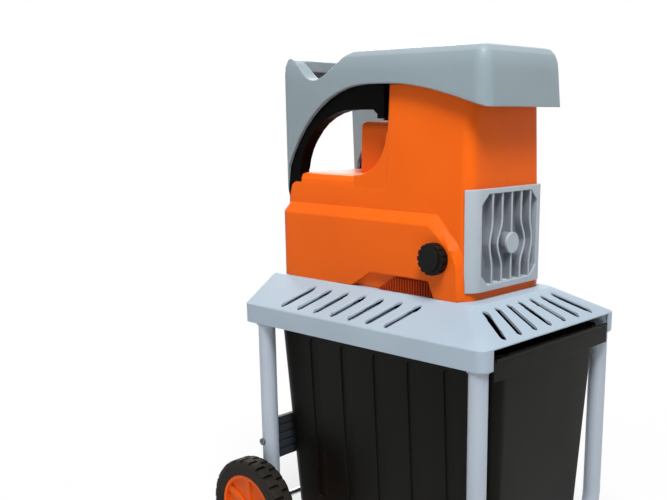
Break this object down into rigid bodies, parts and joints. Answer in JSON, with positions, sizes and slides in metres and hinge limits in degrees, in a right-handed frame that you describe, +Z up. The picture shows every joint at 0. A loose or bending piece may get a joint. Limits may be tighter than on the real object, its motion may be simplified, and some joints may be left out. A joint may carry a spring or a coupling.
{
  "type": "garden shredder",
  "caption": "Electric garden shredder: hopper, orange cutter and motor housing on a wheeled tubular stand with a slide-out collection box.",
  "frame": {"origin": "on the floor, under the middle of the overall box", "axes": "+Z up, -Y to the front where the box slides out, -X to the side with the adjusting knob"},
  "size_m": [0.5232, 0.625, 0.957],
  "materials": {
    "cover_plastic": "light blue-grey moulded plastic, fine texture",
    "tube_paint": "light grey powder coat, satin",
    "panel_plastic": "dark slate moulded plastic",
    "black_plastic": "black moulded plastic",
    "tyre_rubber": "black rubber with block tread",
    "hub_plastic": "orange moulded plastic",
    "box_plastic": "brownish black moulded plastic, slight sheen",
    "orange_plastic": "orange moulded plastic, satin",
    "vent_plastic": "dark orange moulded plastic",
    "hopper_plastic": "mid grey moulded plastic, satin",
    "cast_alloy": "die cast, matt",
    "bright_steel": "machined",
    "can_alloy": "drawn can",
    "copper_wire": "lacquered copper winding",
    "green_plastic": "green button",
    "red_plastic": "red button",
    "grey_plastic": "dark grey control"
  },
  "bodies": {
    "machine": {"base_cover": "cover_plastic", "front_hoop": "tube_paint", "left_rear_leg": "tube_paint", "right_rear_leg": "tube_paint", "left_box_rail": "tube_paint", "right_box_rail": "tube_paint", "rear_cross_panel": "panel_plastic", "left_foot": "black_plastic", "right_foot": "black_plastic", "axle_caps": "black_plastic", "left_handle_liner": "black_plastic", "right_handle_liner": "black_plastic", "hopper_funnel": "black_plastic", "switch_unit": "black_plastic", "power_inlet": "black_plastic", "housing_left": "orange_plastic", "housing_right": "orange_plastic", "left_vent_insert": "vent_plastic", "right_vent_insert": "vent_plastic", "hopper_cover": "hopper_plastic", "front_grille": "hopper_plastic", "cutter_frame": "cast_alloy", "gearbox_housing": "cast_alloy", "gearbox_cover": "cast_alloy", "motor_housing": "cast_alloy", "motor_end_shield": "cast_alloy", "wheel_axle": "bright_steel", "axle_washers": "bright_steel", "front_drum_bearing": "bright_steel", "rear_drum_bearing": "bright_steel", "motor_stator": "bright_steel", "motor_bracket": "bright_steel", "capacitor_clip": "bright_steel", "housing_screws": "bright_steel", "gearbox_bolts": "bright_steel", "leg_screws": "bright_steel", "motor_capacitor": "can_alloy", "motor_windings": "copper_wire"},
    "left_wheel": {"left_tyre": "tyre_rubber", "left_hub": "hub_plastic"},
    "right_wheel": {"right_tyre": "tyre_rubber", "right_hub": "hub_plastic"},
    "box": {"collection_box": "box_plastic"},
    "drum": {"cutting_drum": "bright_steel", "drum_shaft": "bright_steel", "drum_gear": "bright_steel"},
    "layshaft": {"countershaft": "bright_steel", "countershaft_gear": "bright_steel"},
    "rotor": {"motor_rotor": "bright_steel", "motor_shaft": "bright_steel", "motor_fan": "black_plastic"},
    "plate": {"counter_plate": "cast_alloy"},
    "knob": {"adjusting_knob": "black_plastic", "adjusting_screw": "bright_steel"},
    "on_push": {"on_button": "green_plastic"},
    "off_push": {"off_button": "red_plastic"},
    "reset_push": {"reset_button": "grey_plastic"},
    "selector": {"direction_selector": "grey_plastic"}
  },
  "joints": [
    {"name": "left_wheel_spin", "type": "hinge", "parent": "machine", "child": "left_wheel", "pos_m": [-0.2303, 0.2125, 0.1], "axis": [1, 0, 0], "continuous": true},
    {"name": "right_wheel_spin", "type": "hinge", "parent": "machine", "child": "right_wheel", "pos_m": [0.2303, 0.2125, 0.1], "axis": [1, 0, 0], "continuous": true},
    {"name": "box_slide", "type": "slide", "parent": "machine", "child": "box", "axis": [0, -1, 0], "range_m": [0, 0.42]},
    {"name": "rotor_spin", "type": "hinge", "parent": "machine", "child": "rotor", "pos_m": [-0.01, 0.0675, 0.643], "axis": [0, 1, 0], "continuous": true},
    {"name": "countershaft_spin", "type": "hinge", "parent": "machine", "child": "layshaft", "pos_m": [0.0002, -0.03, 0.69603], "axis": [0, 1, 0], "continuous": true},
    {"name": "drum_spin", "type": "hinge", "parent": "machine", "child": "drum", "pos_m": [0.012, -0.1345, 0.625], "axis": [0, 1, 0], "continuous": true},
    {"name": "knob_turn", "type": "hinge", "parent": "machine", "child": "knob", "pos_m": [-0.13, -0.1485, 0.614], "axis": [1, 0, 0], "range_deg": [-720, 360]},
    {"name": "plate_slide", "type": "slide", "parent": "machine", "child": "plate", "axis": [1, 0, 0], "range_m": [-0.003, 0.0015]},
    {"name": "on_press", "type": "slide", "parent": "machine", "child": "on_push", "axis": [0, -1, 0], "range_m": [0, 0.004], "stiffness_N_per_m": 400, "springref_m": -0.002},
    {"name": "off_press", "type": "slide", "parent": "machine", "child": "off_push", "axis": [0, -1, 0], "range_m": [0, 0.004], "stiffness_N_per_m": 400, "springref_m": -0.002},
    {"name": "reset_press", "type": "slide", "parent": "machine", "child": "reset_push", "axis": [0, -1, 0], "range_m": [0, 0.004], "stiffness_N_per_m": 400, "springref_m": -0.002},
    {"name": "selector_turn", "type": "hinge", "parent": "machine", "child": "selector", "pos_m": [-0.02, 0.0815, 0.776], "axis": [0, 1, 0], "range_deg": [-45, 45]}
  ],
  "couplings": [
    {"joint": "countershaft_spin", "follows": "rotor_spin", "ratio": -0.2},
    {"joint": "drum_spin", "follows": "rotor_spin", "ratio": 0.04},
    {"joint": "knob_turn", "follows": "plate_slide", "rad_per_m": 4188.8}
  ]
}
